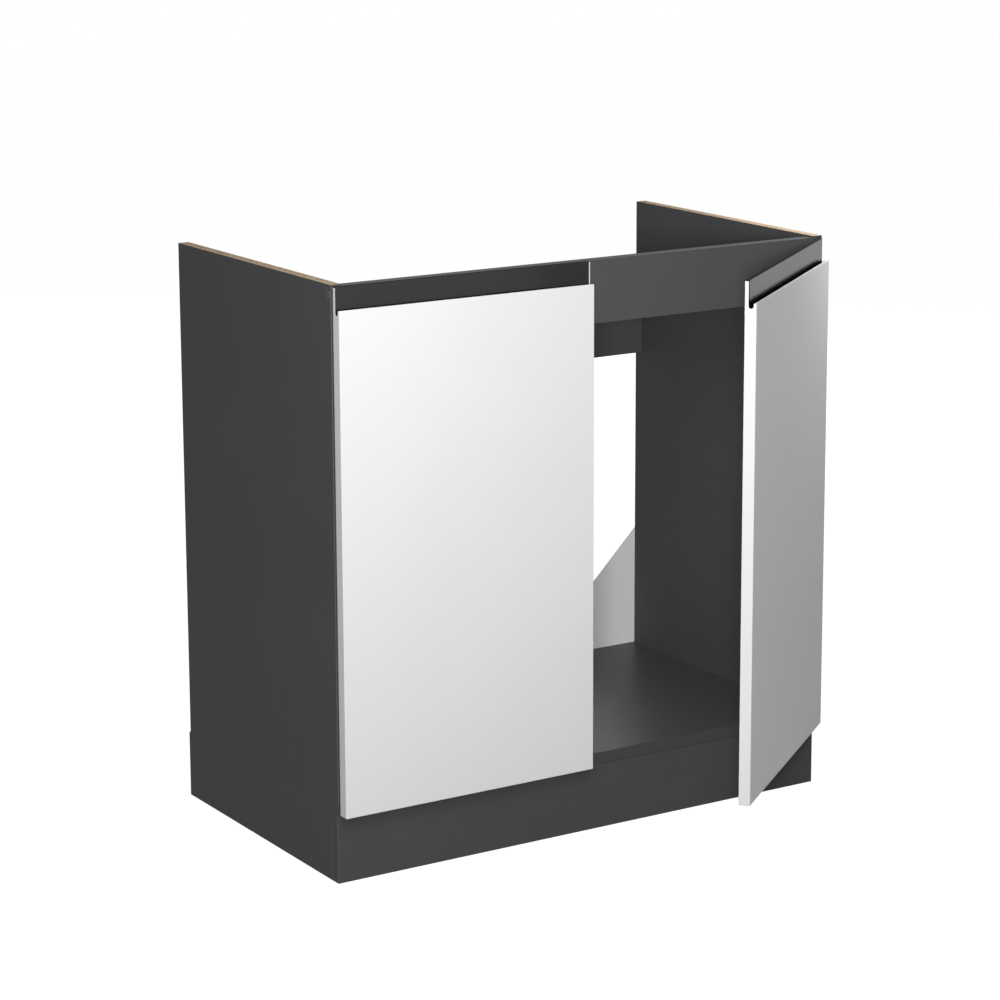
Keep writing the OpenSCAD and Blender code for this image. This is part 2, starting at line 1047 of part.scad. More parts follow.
module lower_right_mounting_plate() {
    on_side(false)
        mounting_plate(low);
}

module arm_pins() {
    rear_half = rear_link_out + layer_gap / 2;
    color(zinc)
        both_sides()
            for (z = hinge_heights) {
                rod_z([rear_arm_pivot[0], rear_arm_pivot[1], z - rear_half], pin_r,
                    2 * rear_half);
                rod_z([front_arm_pivot[0], front_arm_pivot[1], z - ear_out], pin_r,
                    2 * ear_out);
            }
}

module arm_screws() {
    head_x = arm_top_x - arm_sheet;
    color(zinc)
        both_sides()
            for (z = hinge_heights) {
                rod_x([head_x, arm_screw_y, z], arm_screw_r,
                    arm_seat_x + arm_screw_grip - fit_gap - head_x);
                rod_x([head_x - arm_screw_head_h, arm_screw_y, z], arm_screw_head_r,
                    arm_screw_head_h);
            }
}

module plate_screws() {
    base_x = inner_x - plate_t;
    color(zinc)
        both_sides()
            for (z = hinge_heights, s = [-1, 1]) {
                rod_x([base_x, plate_screw_y, z + s * plate_screw_pitch / 2],
                    wood_screw_r - fit_gap, plate_t + wood_screw_l - fit_gap);
                rod_x([base_x - wood_screw_head_h, plate_screw_y,
                    z + s * plate_screw_pitch / 2], wood_screw_head_r, wood_screw_head_h);
            }
}

left_side_panel();
right_side_panel();
bottom_panel();
front_top_rail();
back_rail();
left_edge_band();
right_edge_band();
bottom_edge_band();
plinth_front_board();
plinth_back_board();
plinth_left_board();
plinth_right_board();
left_back_gusset();
right_back_gusset();
gusset_nails();
rail_screws();
rail_screw_caps();
side_panel_screws();
plinth_screws();
rail_dowels();
plinth_dowels();
left_door();
right_door();
left_grip_profile();
right_grip_profile();
left_door_bumpers();
right_door_bumpers();
upper_left_hinge_cup();
lower_left_hinge_cup();
upper_right_hinge_cup();
lower_right_hinge_cup();
left_cup_pins();
right_cup_pins();
left_cup_screws();
right_cup_screws();
upper_left_hinge_arm();
lower_left_hinge_arm();
upper_right_hinge_arm();
lower_right_hinge_arm();
upper_left_mounting_plate();
lower_left_mounting_plate();
upper_right_mounting_plate();
lower_right_mounting_plate();
upper_left_rear_links();
lower_left_rear_links();
upper_right_rear_links();
lower_right_rear_links();
upper_left_front_link();
lower_left_front_link();
upper_right_front_link();
lower_right_front_link();
arm_pins();
arm_screws();
plate_screws();
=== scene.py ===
import json
import math

import bmesh
import bpy
from mathutils import Euler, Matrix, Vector


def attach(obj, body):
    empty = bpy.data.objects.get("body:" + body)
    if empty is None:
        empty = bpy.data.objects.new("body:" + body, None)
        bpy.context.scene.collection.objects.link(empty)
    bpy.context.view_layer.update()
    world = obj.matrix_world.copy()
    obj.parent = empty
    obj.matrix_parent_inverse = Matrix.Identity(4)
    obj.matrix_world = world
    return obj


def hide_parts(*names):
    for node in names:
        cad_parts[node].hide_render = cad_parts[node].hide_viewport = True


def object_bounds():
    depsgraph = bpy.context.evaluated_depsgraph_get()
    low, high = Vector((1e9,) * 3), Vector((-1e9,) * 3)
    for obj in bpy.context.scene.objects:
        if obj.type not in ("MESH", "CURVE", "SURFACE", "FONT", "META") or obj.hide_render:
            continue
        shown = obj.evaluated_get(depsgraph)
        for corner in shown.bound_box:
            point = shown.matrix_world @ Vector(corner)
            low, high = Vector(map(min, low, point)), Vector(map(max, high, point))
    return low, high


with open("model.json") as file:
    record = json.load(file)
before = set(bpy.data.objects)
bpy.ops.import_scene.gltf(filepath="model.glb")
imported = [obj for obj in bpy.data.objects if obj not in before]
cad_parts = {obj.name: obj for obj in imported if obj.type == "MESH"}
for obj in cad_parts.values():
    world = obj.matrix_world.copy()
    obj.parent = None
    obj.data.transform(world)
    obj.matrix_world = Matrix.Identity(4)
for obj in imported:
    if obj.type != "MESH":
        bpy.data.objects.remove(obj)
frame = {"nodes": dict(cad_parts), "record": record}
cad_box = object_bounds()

scene = bpy.context.scene


# Sizes of the part that its looks follow, in metres and radians

CABINET_W = 0.8
BOARD_T = 0.016
PLINTH_H = 0.096
DOOR_T = 0.016
LIP_TOP = 0.784
DOOR_TURN = {"left": 0.0, "right": math.radians(38.2)}
SIDE_MIDDLE = (CABINET_W - BOARD_T) / 2
FLOOR_MIDDLE = PLINTH_H + BOARD_T / 2


# Camera, as the photograph was taken

CAMERA_PLACE = (-2.29461, -3.44694, 1.45513)
CAMERA_TURN = (78.2101, 0.2152, -32.0998)
CAMERA_LENS = 110.6456
CAMERA_SENSOR = 36.0
CAMERA_SHIFT = (0.0, -0.08)


def make_camera():
    data = bpy.data.cameras.new("camera")
    data.lens = CAMERA_LENS
    data.sensor_width = CAMERA_SENSOR
    data.shift_x, data.shift_y = CAMERA_SHIFT
    camera = bpy.data.objects.new("camera", data)
    camera.location = CAMERA_PLACE
    camera.rotation_euler = Euler([math.radians(turn) for turn in CAMERA_TURN])
    scene.collection.objects.link(camera)
    scene.camera = camera


# Materials

# The colour sockets of a Mix node go by number, because their names repeat for each kind of data
MIX_A = 6
MIX_B = 7
MIX_RESULT = 2

# Nearly all of a noise's values lie in here
NOISE_SPREAD = (0.3, 0.7)


def add_node(tree, kind, **values):
    made = tree.nodes.new(kind)
    for key, value in values.items():
        setattr(made, key, value)
    return made


class Finish:
    """A node material, built up by small calls that each return a socket."""

    def __init__(self, name, **settings):
        self.material = bpy.data.materials.new(name)
        self.material.use_nodes = True
        self.tree = self.material.node_tree
        self.tree.nodes.clear()
        self.shader = self.node("ShaderNodeBsdfPrincipled")
        output = self.node("ShaderNodeOutputMaterial")
        self.link(self.shader.outputs["BSDF"], output.inputs["Surface"])
        place = self.node("ShaderNodeTexCoord")
        self.place = place.outputs["Object"]
        self.facing = place.outputs["Normal"]
        self.set(**settings)

    def node(self, kind, **values):
        return add_node(self.tree, kind, **values)

    def link(self, source, target):
        self.tree.links.new(source, target)

    def feed(self, value, socket):
        if isinstance(value, bpy.types.NodeSocket):
            self.link(value, socket)
        else:
            socket.default_value = value

    def set(self, **settings):
        for key, value in settings.items():
            self.feed(value, self.shader.inputs[key.replace("_", " ")])

    def stretched(self, scale):
        """The place on the object, in repeats a metre: one number, or one for each axis."""
        made = self.node("ShaderNodeMapping")
        self.link(self.place, made.inputs["Vector"])
        made.inputs["Scale"].default_value = scale if isinstance(scale, tuple) else (scale,) * 3
        return made.outputs["Vector"]

    def noise(self, scale, detail=2.0, rough=0.5):
        made = self.node("ShaderNodeTexNoise")
        self.link(self.stretched(scale), made.inputs["Vector"])
        made.inputs["Scale"].default_value = 1.0
        made.inputs["Detail"].default_value = detail
        made.inputs["Roughness"].default_value = rough
        return made.outputs["Fac"]

    def cells(self, scale):
        """A pattern of cells, each with a value of its own."""
        made = self.node("ShaderNodeTexVoronoi")
        self.link(self.stretched(scale), made.inputs["Vector"])
        made.inputs["Scale"].default_value = 1.0
        return self.axis(made.outputs["Color"], "X")

    def arithmetic(self, kind, a, b=0.0, clamp=False):
        made = self.node("ShaderNodeMath", operation=kind, use_clamp=clamp)
        self.feed(a, made.inputs[0])
        self.feed(b, made.inputs[1])
        return made.outputs[0]

    def add(self, a, b, clamp=False):
        return self.arithmetic("ADD", a, b, clamp)

    def times(self, a, b):
        return self.arithmetic("MULTIPLY", a, b)

    def ramp(self, value, low, high, to_low=0.0, to_high=1.0):
        made = self.node("ShaderNodeMapRange")
        self.feed(value, made.inputs["Value"])
        for key, number in (("From Min", low), ("From Max", high), ("To Min", to_low), ("To Max", to_high)):
            made.inputs[key].default_value = number
        return made.outputs["Result"]

    def between(self, noise, low, high):
        """A noise drawn out to run from low to high."""
        return self.ramp(noise, *NOISE_SPREAD, low, high)

    def mix(self, share, a, b):
        made = self.node("ShaderNodeMix", data_type="RGBA")
        self.feed(share, made.inputs["Factor"])
        self.feed(a if isinstance(a, bpy.types.NodeSocket) else (*a, 1.0), made.inputs[MIX_A])
        self.feed(b if isinstance(b, bpy.types.NodeSocket) else (*b, 1.0), made.inputs[MIX_B])
        return made.outputs[MIX_RESULT]

    def axis(self, vector, letter):
        made = self.node("ShaderNodeSeparateXYZ")
        self.link(vector, made.inputs[0])
        return made.outputs[letter]

    def bump(self, height, depth):
        made = self.node("ShaderNodeBump")
        self.link(height, made.inputs["Height"])
        made.inputs["Distance"].default_value = depth
        made.inputs["Strength"].default_value = 1.0
        self.link(made.outputs["Normal"], self.shader.inputs["Normal"])


def grey(level):
    """The linear value of an sRGB grey from 0 to 255."""
    share = level / 255
    return ((share + 0.055) / 1.055) ** 2.4 if share > 0.04045 else share / 12.92


def tint(red, green, blue):
    return (grey(red), grey(green), grey(blue))


COATING_IOR = 1.5
FIBRE_IOR = 1.45
PAD_IOR = 1.48

BOARD_DARK = tint(74, 74, 75)
BOARD_LIGHT = tint(86, 86, 87)
BOARD_GLOSS = 0.05
BOARD_ROUGH = 0.46
ROUGH_SPAN = 0.12
CLOUD_SHARE = 0.6
GRAIN_SHARE = 0.5
GRAIN_DEPTH = 0.00003


def board_colour(f, pearl, dark, light):
    """Melamine's colour, of wide clouds and a fine pearl structure."""
    cloud = f.noise(9.0, detail=4.0, rough=0.6)
    return f.mix(f.add(f.times(cloud, CLOUD_SHARE), f.times(pearl, 1 - CLOUD_SHARE)), dark, light)


def board_pearl(f):
    return f.noise(2600.0, rough=0.6)


def board_roughness(f, smoothest):
    return f.between(f.noise(700.0, detail=3.0), smoothest, smoothest + ROUGH_SPAN)


def board_relief(f, pearl):
    return f.add(pearl, f.times(f.noise(600.0), GRAIN_SHARE))


def melamine(name, dark=BOARD_DARK, light=BOARD_LIGHT):
    """Dark grey melamine with a fine pearl structure."""
    f = Finish(name, IOR=COATING_IOR, Specular_IOR_Level=BOARD_GLOSS)
    pearl = board_pearl(f)
    f.set(Base_Color=board_colour(f, pearl, dark, light), Roughness=board_roughness(f, BOARD_ROUGH))
    f.bump(board_relief(f, pearl), GRAIN_DEPTH)
    return f.material


CHIP_PALE = tint(250, 226, 198)
CHIP_DARK = tint(176, 138, 106)
CHIP_BRIGHT = tint(250, 232, 206)
CHIP_FINE = tint(238, 214, 182)
STRAND_SPREAD = (0.35, 0.62)
STRAND_HEIGHT = 12.0
BRIGHT_FROM = 0.6
BRIGHT_SHARE = 0.6
FINE_SHARE = 0.75
CHIP_ROUGHER = 0.35
SKIN_T = 0.0004
RAW_FACING = (0.9, 0.95)


def chip_colour(f, strand, outward):
    """Chipboard's colour, of strands and some bright chips, more even towards the outer skin."""
    chip = f.mix(f.ramp(strand, *STRAND_SPREAD), CHIP_PALE, CHIP_DARK)
    bright = f.ramp(f.cells((260.0, 330.0, 330.0)), BRIGHT_FROM, 1.0, 0.0, BRIGHT_SHARE)
    chip = f.mix(bright, chip, CHIP_BRIGHT)
    return f.mix(outward, chip, CHIP_FINE)


def raw_board(name, raw, across, middle, gloss=BOARD_GLOSS, smoothest=BOARD_ROUGH):
    """Melamine, with raw chipboard between its skins where a face looks up one of the raw axes.

    The board is thin across one axis, and the middle of its thickness is this far from the origin.
    """
    f = Finish(name, IOR=COATING_IOR, Specular_IOR_Level=gloss)
    pearl = board_pearl(f)
    face = board_colour(f, pearl, BOARD_DARK, BOARD_LIGHT)
    strand = f.noise((300.0, 420.0, 420.0), detail=4.0, rough=0.65)
    place = f.arithmetic("ABSOLUTE", f.axis(f.place, across))
    outward = f.ramp(place, middle, middle + BOARD_T / 2, 0.0, FINE_SHARE)
    off_middle = f.arithmetic("ABSOLUTE", f.arithmetic("SUBTRACT", place, middle))
    inside = f.arithmetic("LESS_THAN", off_middle, BOARD_T / 2 - SKIN_T)
    shown = 0.0
    for letter in raw:
        shown = f.arithmetic("MAXIMUM", shown, f.ramp(f.axis(f.facing, letter), *RAW_FACING))
    shown = f.times(shown, inside)
    f.set(Base_Color=f.mix(shown, face, chip_colour(f, strand, outward)),
          Roughness=f.add(board_roughness(f, smoothest), f.times(shown, CHIP_ROUGHER), clamp=True))
    raised = f.times(f.times(strand, STRAND_HEIGHT), shown)
    f.bump(f.add(board_relief(f, pearl), raised), GRAIN_DEPTH)
    return f.material


def painted_edge_highlight():
    """Melamine at a corner, painted lighter as a highlight, and glossier and smoother."""
    f = Finish("painted_edge_highlight", IOR=COATING_IOR, Specular_IOR_Level=0.2)
    highlight_noise = f.noise(40.0, detail=3.0, rough=0.6)
    f.set(Base_Color=f.mix(f.between(highlight_noise, 0.0, 1.0), tint(98, 98, 99), tint(116, 116, 117)),
          Roughness=f.between(highlight_noise, 0.45, 0.32))
    f.bump(f.noise(1500.0), depth=0.00001)
    return f.material


def edging():
    """The band glued on a board's front edge."""
    f = Finish("edging", IOR=COATING_IOR, Specular_IOR_Level=0.12)
    f.set(Base_Color=f.mix(f.noise(300.0, detail=3.0), tint(66, 66, 67), tint(74, 74, 75)),
          Roughness=f.between(f.noise((90.0, 900.0, 90.0)), 0.32, 0.45))
    f.bump(f.noise(1500.0), depth=0.00002)
    return f.material


def lacquer():
    """White door lacquer with a faint orange peel."""
    f = Finish("lacquer", IOR=COATING_IOR, Specular_IOR_Level=0.06)
    f.set(Base_Color=f.mix(f.noise(5.0), tint(238, 237, 238), tint(242, 242, 243)),
          Roughness=f.between(f.noise(60.0, detail=3.0), 0.36, 0.42))
    f.bump(f.noise(260.0, rough=0.45), depth=0.00002)
    return f.material


def grip_metal():
    """Dark lacquered metal with fine lines along X."""
    f = Finish("grip_metal", IOR=COATING_IOR, Specular_IOR_Level=0.18)
    lines = f.noise((12.0, 5000.0, 5000.0), detail=3.0, rough=0.6)
    f.set(Base_Color=f.mix(lines, tint(44, 44, 45), tint(54, 54, 55)),
          Roughness=f.between(lines, 0.13, 0.19))
    f.bump(lines, depth=0.000002)
    return f.material


def matte_metal(name, low, high):
    f = Finish(name, IOR=COATING_IOR, Specular_IOR_Level=0.0)
    f.set(Base_Color=f.mix(f.noise(900.0), low, high),
          Roughness=f.between(f.noise(600.0), 0.7, 0.85))
    f.bump(f.noise(2000.0), depth=0.00001)
    return f.material


def hardboard():
    f = Finish("hardboard", IOR=FIBRE_IOR)
    fibre = f.noise(500.0, detail=5.0, rough=0.7)
    f.set(Base_Color=f.mix(f.ramp(fibre, 0.35, 0.7), tint(247, 245, 247), tint(252, 251, 252)),
          Roughness=f.between(fibre, 0.55, 0.75))
    f.bump(fibre, depth=0.00006)
    return f.material


def plated(name, low, high, rough):
    """Plated steel with fine scratches along X."""
    f = Finish(name, Metallic=1.0)
    scratch = f.noise((400.0, 3000.0, 3000.0), detail=3.0, rough=0.6)
    f.set(Base_Color=f.mix(f.noise(60.0, detail=3.0), low, high),
          Roughness=f.add(f.between(scratch, 0.0, 0.1), rough))
    f.bump(scratch, depth=0.00001)
    return f.material


def beech():
    """Beech with its fibres along X."""
    f = Finish("beech", IOR=FIBRE_IOR)
    fibre = f.noise((60.0, 1500.0, 1500.0), detail=4.0, rough=0.6)
    f.set(Base_Color=f.mix(fibre, tint(200, 160, 112), tint(226, 192, 148)),
          Roughness=f.between(fibre, 0.55, 0.7))
    f.bump(fibre, depth=0.00005)
    return f.material


def clear_pad():
    f = Finish("clear_pad", IOR=PAD_IOR, Transmission_Weight=0.5)
    f.set(Base_Color=f.mix(f.noise(200.0), tint(225, 228, 230), tint(238, 240, 241)),
          Roughness=f.between(f.noise(700.0), 0.25, 0.35))
    f.bump(f.noise(900.0), depth=0.00002)
    return f.material


FINISHES = {
    "melamine_board": melamine("melamine"),
    "edge_band": edging(),
    "door_lacquer": lacquer(),
    "grip_metal": grip_metal(),
    "hardboard": hardboard(),
    "nickel_steel": plated("nickel", tint(198, 196, 190), tint(222, 220, 215), rough=0.22),
    "zinc_steel": plated("zinc", tint(176, 178, 180), tint(208, 210, 212), rough=0.34),
    "bumper_pad": clear_pad(),
    "beech": beech(),
}
SIDE_BOARD = raw_board("board_side", raw="ZY", across="X", middle=SIDE_MIDDLE)
FLOOR_FACE = raw_board("floor_face", raw="Y", across="Z", middle=FLOOR_MIDDLE, gloss=0.18, smoothest=0.32)
FLOOR_RIM = raw_board("floor_rim", raw="Y", across="Z", middle=FLOOR_MIDDLE)
# A lighter copy of the melamine for the two rails, painted light that brightens them
RAIL_BOARD_LIGHTENED = melamine("rail_board_lightened", dark=tint(81, 81, 82), light=tint(92, 92, 93))
# A lighter melamine that paints a highlight along rounded edges
PAINTED_EDGE_HIGHLIGHT = painted_edge_highlight()
# Near black for the grip's ends, and as painted shade in its channel below the lip
GRIP_END_AND_SHADE = matte_metal("grip_end_and_channel_shade", tint(12, 12, 13), tint(24, 24, 25))
# A lighter matte tone for the grip's top faces, painted light from above
GRIP_CAP_LIGHTENED = matte_metal("grip_cap_lightened", tint(62, 62, 63), tint(72, 72, 73))


# Pieces

BODIES = frame["record"]["behaviour"]["bodies"]
BODY_OF = {node: body for body, nodes in BODIES.items() for node in nodes}
SLOT_OF = {row["node"]: row["material_slot"] for row in frame["record"]["subparts"]}
SIDES = ("left", "right")
LEVELS = ("upper", "lower")

SAME_POINT = 0.000002
FLAT_ANGLE = math.radians(0.4)
SHARP_ANGLE = math.radians(40)
# Only a piece's large faces say how its rounded edges are shaded
LARGE_FACES_ONLY = 100
# Rounded edges keep the finish of the faces beside them
AS_THE_FACES = -1


def clean_shape(node):
    """The node's mesh as a bmesh of whole flat faces."""
    shape = bmesh.new()
    shape.from_mesh(frame["nodes"][node].data)
    bmesh.ops.remove_doubles(shape, verts=shape.verts, dist=SAME_POINT)
    bmesh.ops.dissolve_limit(shape, angle_limit=FLAT_ANGLE, verts=shape.verts, edges=shape.edges)
    shape.normal_update()
    return shape


def stand_in(node, shape, finishes, width, segments=2, weighted=False, edge_finish=AS_THE_FACES):
    """The shape with its sharp edges rounded, standing for the node."""
    for face in shape.faces:
        face.smooth = True
    mesh = bpy.data.meshes.new("soft_" + node)
    shape.to_mesh(mesh)
    shape.free()
    for finish in finishes:
        mesh.materials.append(finish)
    piece = bpy.data.objects.new("soft_" + node, mesh)
    scene.collection.objects.link(piece)
    bevel = piece.modifiers.new("edge", "BEVEL")
    bevel.width = width
    bevel.segments = segments
    bevel.limit_method = "WEIGHT" if weighted else "ANGLE"
    bevel.angle_limit = SHARP_ANGLE
    bevel.material = edge_finish
    bevel.use_clamp_overlap = not weighted
    piece.modifiers.new("flat", "WEIGHTED_NORMAL").weight = LARGE_FACES_ONLY
    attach(piece, BODY_OF[node])
    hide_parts(node)


def softened(node, width, segments=2, finish=None):
    """The node's own shape with its sharp edges rounded."""
    stand_in(node, clean_shape(node), [finish or FINISHES[SLOT_OF[node]]], width, segments)


def with_painted_edges(node, width, segments=2, finish=None):
    """A board whose rounded edges get a painted highlight in a lighter colour."""
    finishes = [finish or FINISHES[SLOT_OF[node]], PAINTED_EDGE_HIGHLIGHT]
    stand_in(node, clean_shape(node), finishes, width, segments, edge_finish=finishes.index(PAINTED_EDGE_HIGHLIGHT))


def weigh_edges(shape, rule):
    """Gives each sharp edge the share of the bevel's width that the rule says."""
    layer = shape.edges.layers.float.new("bevel_weight_edge")
    for edge in shape.edges:
        if len(edge.link_faces) == 2 and edge.calc_face_angle() > SHARP_ANGLE:
            edge[layer] = rule([vert.co for vert in edge.verts])


# How far the edges are rounded

CUT_ROUND = 0.0004
BAND_ROUND = 0.0006
FLOOR_BAND_ROUND = 0.0003
FRONT_RAIL_ROUND = 0.0012
BACK_RAIL_ROUND = 0.0006
PLINTH_ROUND = 0.0005
PLINTH_SIDE_ROUND = 0.0008
CAP_ROUND = 0.00048
NAIL_ROUND = 0.0004
BUMPER_ROUND = 0.0008
GRIP_ROUND = 0.0002
HINGE_ROUND = {
    "hinge_cup": 0.0003,
    "hinge_arm": 0.0004,
    "mounting_plate": 0.0005,
    "rear_links": 0.0002,
    "front_link": 0.0002,
}


# Panels, doors and their grips

# A face looks along a direction when more than this much of its normal lies in it
LEVEL_FROM = 0.5
SQUARE_FROM = 0.9

DOOR_FRONT = {side: Vector((math.sin(turn), -math.cos(turn), 0)) for side, turn in DOOR_TURN.items()}
DOOR_END = {side: Vector((-math.cos(turn), -math.sin(turn), 0)) for side, turn in DOOR_TURN.items()}
NEAR = 0.0002
# The edges on top of the lip lie less than this behind the door's front
LIP_REACH = 0.004
DOOR_ROUND = 0.0012
BACK_SHARE = 0.25
GROOVE_SHARE = 0.15


def make_bottom_panel():
    """The bottom panel, smoother on its faces than round its rim."""
    shape = clean_shape("bottom_panel")
    finishes = [FLOOR_FACE, FLOOR_RIM]
    for face in shape.faces:
        finish = FLOOR_RIM if abs(face.normal.z) < LEVEL_FROM else FLOOR_FACE
        face.material_index = finishes.index(finish)
    stand_in("bottom_panel", shape, finishes, CUT_ROUND)


def make_door(side):
    """A door with rounded outer edges and crisp ones in the groove and the bores."""
    shape = clean_shape(side + "_door")
    front, along = DOOR_FRONT[side], DOOR_END[side]
    face = max(vert.co.dot(front) for vert in shape.verts)
    ends = [pick(vert.co.dot(along) for vert in shape.verts) for pick in (min, max)]
    foot = min(vert.co.z for vert in shape.verts)

    def rule(points):
        depths = [face - point.dot(front) for point in points]
        if max(depths) < NEAR:
            return 1.0
        if min(depths) > DOOR_T - NEAR:
            return BACK_SHARE
        at_end = all(min(abs(point.dot(along) - end) for end in ends) < NEAR for point in points)
        at_foot = all(point.z < foot + NEAR for point in points)
        at_lip = all(abs(point.z - LIP_TOP) < NEAR for point in points) and max(depths) < LIP_REACH
        return 1.0 if at_end and (at_foot or at_lip) else GROOVE_SHARE

    weigh_edges(shape, rule)
    stand_in(side + "_door", shape, [FINISHES["door_lacquer"]], DOOR_ROUND, segments=4, weighted=True)


def make_grip(side):
    """A grip profile with dark sawn ends, its channel below the lip painted near black as shade, and a
    matte cap over the back leaf in a lighter tone, painted light from above.
    """
    node = side + "_grip_profile"
    shape = clean_shape(node)
    along = DOOR_END[side]
    bmesh.ops.bisect_plane(shape, geom=[*shape.verts, *shape.edges, *shape.faces],
                           plane_co=(0, 0, LIP_TOP), plane_no=(0, 0, 1))
    finishes = [FINISHES["grip_metal"], GRIP_END_AND_SHADE, GRIP_CAP_LIGHTENED]
    for face in shape.faces:
        middle = face.calc_center_median()
        # Ends and faces below the lip's top go near black; in the channel this is painted shade
        if abs(face.normal.dot(along)) > SQUARE_FROM or middle.z < LIP_TOP - NEAR:
            face.material_index = finishes.index(GRIP_END_AND_SHADE)
        # Top faces above the lip get the lighter cap tone, painted light
        elif face.normal.z > SQUARE_FROM and middle.z > LIP_TOP + NEAR:
            face.material_index = finishes.index(GRIP_CAP_LIGHTENED)
    stand_in(node, shape, finishes, GRIP_ROUND)


# Fasteners

CUP_RECESS = {"reach": 0.0019, "half": 0.00045, "depth": 0.0014}
ARM_RECESS = {"reach": 0.0021, "half": 0.0005, "depth": 0.0016}
PLATE_RECESS = {"reach": 0.0019, "half": 0.00045, "depth": 0.001}
BOARD_RECESS = {"reach": 0.0029, "half": 0.0006, "depth": 0.0022}
RECESS_TAPER = 0.6
SMALL_SCREW_ROUND = 0.00025
ARM_SCREW_ROUND = 0.0003
BOARD_SCREW_ROUND = 0.0002
QUARTER_TURNS = ((1, 0), (0, 1), (-1, 0), (0, -1))


def islands(shape):
    """The separate solids in a shape, each as a list of faces."""
    unseen = set(shape.faces)
    found = []
    while unseen:
        grown = [unseen.pop()]
        for face in grown:
            for edge in face.edges:
                for other in edge.link_faces:
                    if other in unseen:
                        unseen.remove(other)
                        grown.append(other)
        found.append(grown)
    return found


def cross_outline(reach, half):
    """The twelve corners of a cross."""
    arm = [(half, half), (half, reach), (-half, reach)]
    return [(x * cos - y * sin, x * sin + y * cos) for cos, sin in QUARTER_TURNS for x, y in arm]


def cut_recess(shape, head, reach, half, depth):
    """Sinks a tapered cross recess into a flat screw head."""
    middle = head.calc_center_median()
    axis = head.normal.copy()
    side = axis.orthogonal().normalized()
    up = axis.cross(side)
    rim = list(head.edges)
    bmesh.ops.delete(shape, geom=[head], context="FACES_ONLY")
    outline = cross_outline(reach, half)
    mouth = [shape.verts.new(middle + side * x + up * y) for x, y in outline]
    foot = [shape.verts.new(middle + (side * x + up * y) * RECESS_TAPER - axis * depth) for x, y in outline]
    turn = list(range(1, len(mouth))) + [0]
    inner = [shape.edges.new((mouth[i], mouth[n])) for i, n in enumerate(turn)]
    bmesh.ops.triangle_fill(shape, use_beauty=True, edges=rim + inner, normal=axis)
    for i, n in enumerate(turn):
        shape.faces.new((mouth[i], foot[i], foot[n], mouth[n]))
    shape.faces.new(foot[::-1])


def make_screws(node, recess, width):
    """The node's screws with a cross recess in each head."""
    shape = clean_shape(node)
    for solid in islands(shape):
        cut_recess(shape, max(solid, key=lambda face: face.calc_area()), **recess)
    bmesh.ops.recalc_face_normals(shape, faces=shape.faces)
    stand_in(node, shape, [FINISHES[SLOT_OF[node]]], width)


# Making the pieces

for name, thing in frame["nodes"].items():
    thing.data.materials.clear()
    thing.data.materials.append(FINISHES[SLOT_OF[name]])

for side in SIDES:
    make_door(side)
    make_grip(side)
    softened(side + "_side_panel", CUT_ROUND, finish=SIDE_BOARD)
    with_painted_edges(side + "_edge_band", BAND_ROUND, segments=3)
    softened(side + "_back_gusset", CUT_ROUND)
    softened(side + "_door_bumpers", BUMPER_ROUND, segments=3)
    make_screws(side + "_cup_screws", CUP_RECESS, SMALL_SCREW_ROUND)
    for level in LEVELS:
        for part, width in HINGE_ROUND.items():
            softened(level + "_" + side + "_" + part, width)
for side in SIDES:
    with_painted_edges("plinth_" + side + "_board", PLINTH_SIDE_ROUND)
softened("bottom_edge_band", FLOOR_BAND_ROUND)
make_bottom_panel()
with_painted_edges("front_top_rail", FRONT_RAIL_ROUND, segments=3, finish=RAIL_BOARD_LIGHTENED)
with_painted_edges("back_rail", BACK_RAIL_ROUND, segments=3, finish=RAIL_BOARD_LIGHTENED)
with_painted_edges("plinth_front_board", PLINTH_ROUND)
softened("plinth_back_board", PLINTH_ROUND)
with_painted_edges("rail_screw_caps", CAP_ROUND, segments=4)
softened("gusset_nails", NAIL_ROUND, segments=3)
make_screws("arm_screws", ARM_RECESS, ARM_SCREW_ROUND)
make_screws("plate_screws", PLATE_RECESS, SMALL_SCREW_ROUND)
make_screws("plinth_screws", BOARD_RECESS, BOARD_SCREW_ROUND)
make_screws("side_panel_screws", BOARD_RECESS, BOARD_SCREW_ROUND)


# Stage and light

WORLD_LIGHT = 0.13
FLOOR_COLOUR = 0.16
FLOOR_GLOW = 0.975
FLOOR_REACH = 12.0
WHITE = (1, 1, 1, 1)


def seen_share(tree):
    """One where a ray sees the white studio, from the camera, off gloss or through glass, else zero."""
    path = add_node(tree, "ShaderNodeLightPath")
    bent = add_node(tree, "ShaderNodeMath", operation="ADD")
    seen = add_node(tree, "ShaderNodeMath", operation="ADD", use_clamp=True)
    tree.links.new(path.outputs["Is Glossy Ray"], bent.inputs[0])
    tree.links.new(path.outputs["Is Transmission Ray"], bent.inputs[1])
    tree.links.new(path.outputs["Is Camera Ray"], seen.inputs[0])
    tree.links.new(bent.outputs[0], seen.inputs[1])
    return seen.outputs[0]


def floor_material():
    """A floor that glows where the studio is seen, and keeps the shadow."""
    material = bpy.data.materials.new("floor")
    material.use_nodes = True
    tree = material.node_tree
    tree.nodes.clear()
    diffuse = add_node(tree, "ShaderNodeBsdfDiffuse")
    diffuse.inputs["Color"].default_value = (FLOOR_COLOUR, FLOOR_COLOUR, FLOOR_COLOUR, 1)
    glow = add_node(tree, "ShaderNodeEmission")
    share = add_node(tree, "ShaderNodeMath", operation="MULTIPLY")
    share.inputs[1].default_value = FLOOR_GLOW
    tree.links.new(seen_share(tree), share.inputs[0])
    tree.links.new(share.outputs[0], glow.inputs["Strength"])
    both = add_node(tree, "ShaderNodeAddShader")
    out = add_node(tree, "ShaderNodeOutputMaterial")
    tree.links.new(diffuse.outputs[0], both.inputs[0])
    tree.links.new(glow.outputs[0], both.inputs[1])
    tree.links.new(both.outputs[0], out.inputs["Surface"])
    return material


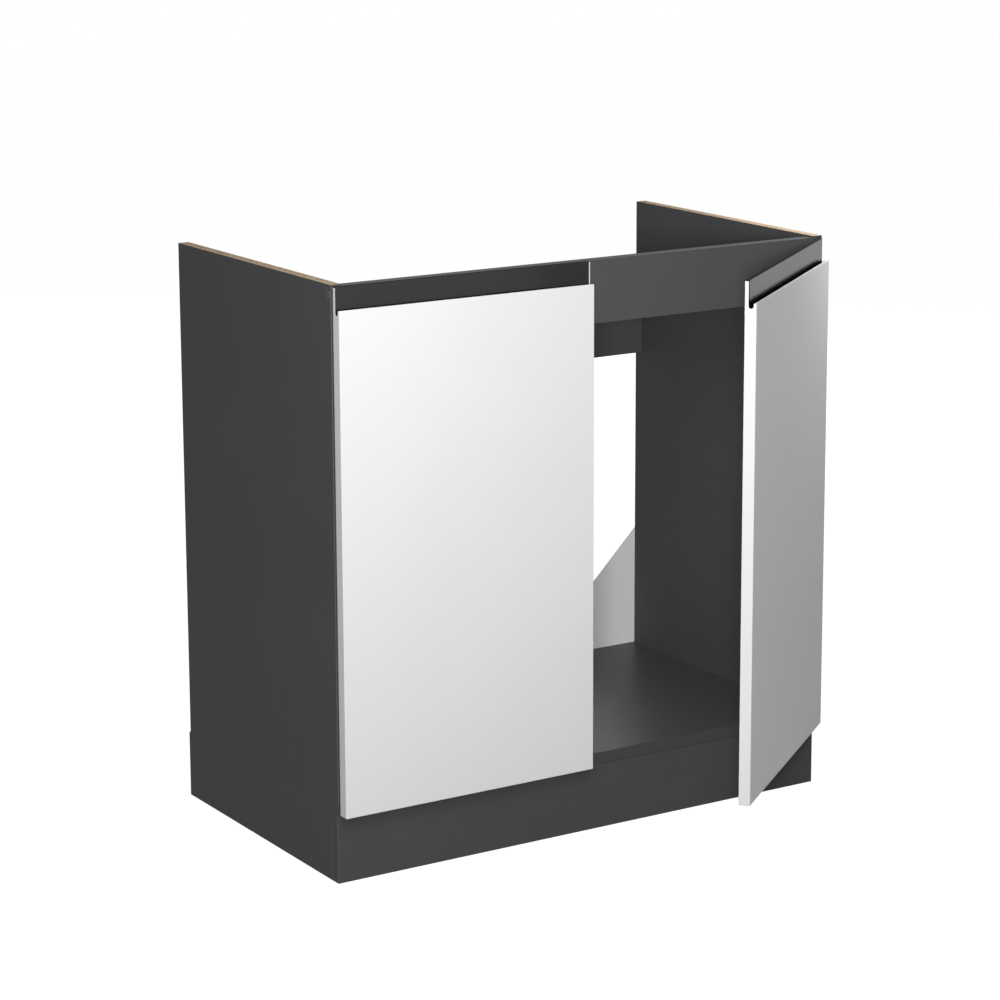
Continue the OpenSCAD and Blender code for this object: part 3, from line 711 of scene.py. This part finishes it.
def make_floor():
    drop = cad_box[0].z
    corners = [(x * FLOOR_REACH, y * FLOOR_REACH, drop) for x, y in ((-1, -1), (1, -1), (1, 1), (-1, 1))]
    data = bpy.data.meshes.new("floor")
    data.from_pydata(corners, [], [(0, 1, 2, 3)])
    data.materials.append(floor_material())
    floor = bpy.data.objects.new("floor", data)
    scene.collection.objects.link(floor)


def make_world():
    """A studio that is white where it is seen, and otherwise a weak light from all round."""
    world = bpy.data.worlds.new("world")
    scene.world = world
    world.use_nodes = True
    tree = world.node_tree
    tree.nodes.clear()
    level = add_node(tree, "ShaderNodeMapRange")
    tree.links.new(seen_share(tree), level.inputs["Value"])
    level.inputs["To Min"].default_value = WORLD_LIGHT
    level.inputs["To Max"].default_value = 1.0
    back = add_node(tree, "ShaderNodeBackground")
    back.inputs["Color"].default_value = WHITE
    tree.links.new(level.outputs["Result"], back.inputs["Strength"])
    out = add_node(tree, "ShaderNodeOutputWorld")
    tree.links.new(back.outputs[0], out.inputs["Surface"])


CABINET_HEART = (0.0, 0.0, 0.42)
BACK_HEART = (0.0, 0.2, 0.42)
OPEN_DOOR_TOP = (0.35, -0.05, 0.7)


def lamp(name, place, aim, size, power, in_gloss=True):
    """A square lamp that the camera doesn't see, and that can be left out of reflections."""
    data = bpy.data.lights.new(name, "AREA")
    data.shape = "RECTANGLE"
    data.size = data.size_y = size
    data.energy = power
    made = bpy.data.objects.new(name, data)
    made.location = place
    made.rotation_euler = (Vector(aim) - Vector(place)).to_track_quat("-Z", "Y").to_euler()
    made.visible_camera = False
    made.visible_glossy = in_gloss
    scene.collection.objects.link(made)


make_camera()
make_floor()
make_world()
# The key lamp hangs near, in front at the left, and the fill lamp between camera and cabinet
lamp("key", place=(-0.61, -0.94, 1.2), aim=CABINET_HEART, size=0.8, power=7.4)
lamp("fill", place=(-1.86, -2.79, 1.21), aim=CABINET_HEART, size=0.42, power=58.5)
# The back lamp stands behind on the right, and the rim lamp hangs close to the open door's hinge side
lamp("back", place=(2.4, 3.2, 1.6), aim=BACK_HEART, size=1.2, power=75.0, in_gloss=False)
lamp("rim", place=(0.65, 0.0, 1.0), aim=OPEN_DOOR_TOP, size=0.15, power=1.25, in_gloss=False)

scene.view_settings.view_transform = "Standard"
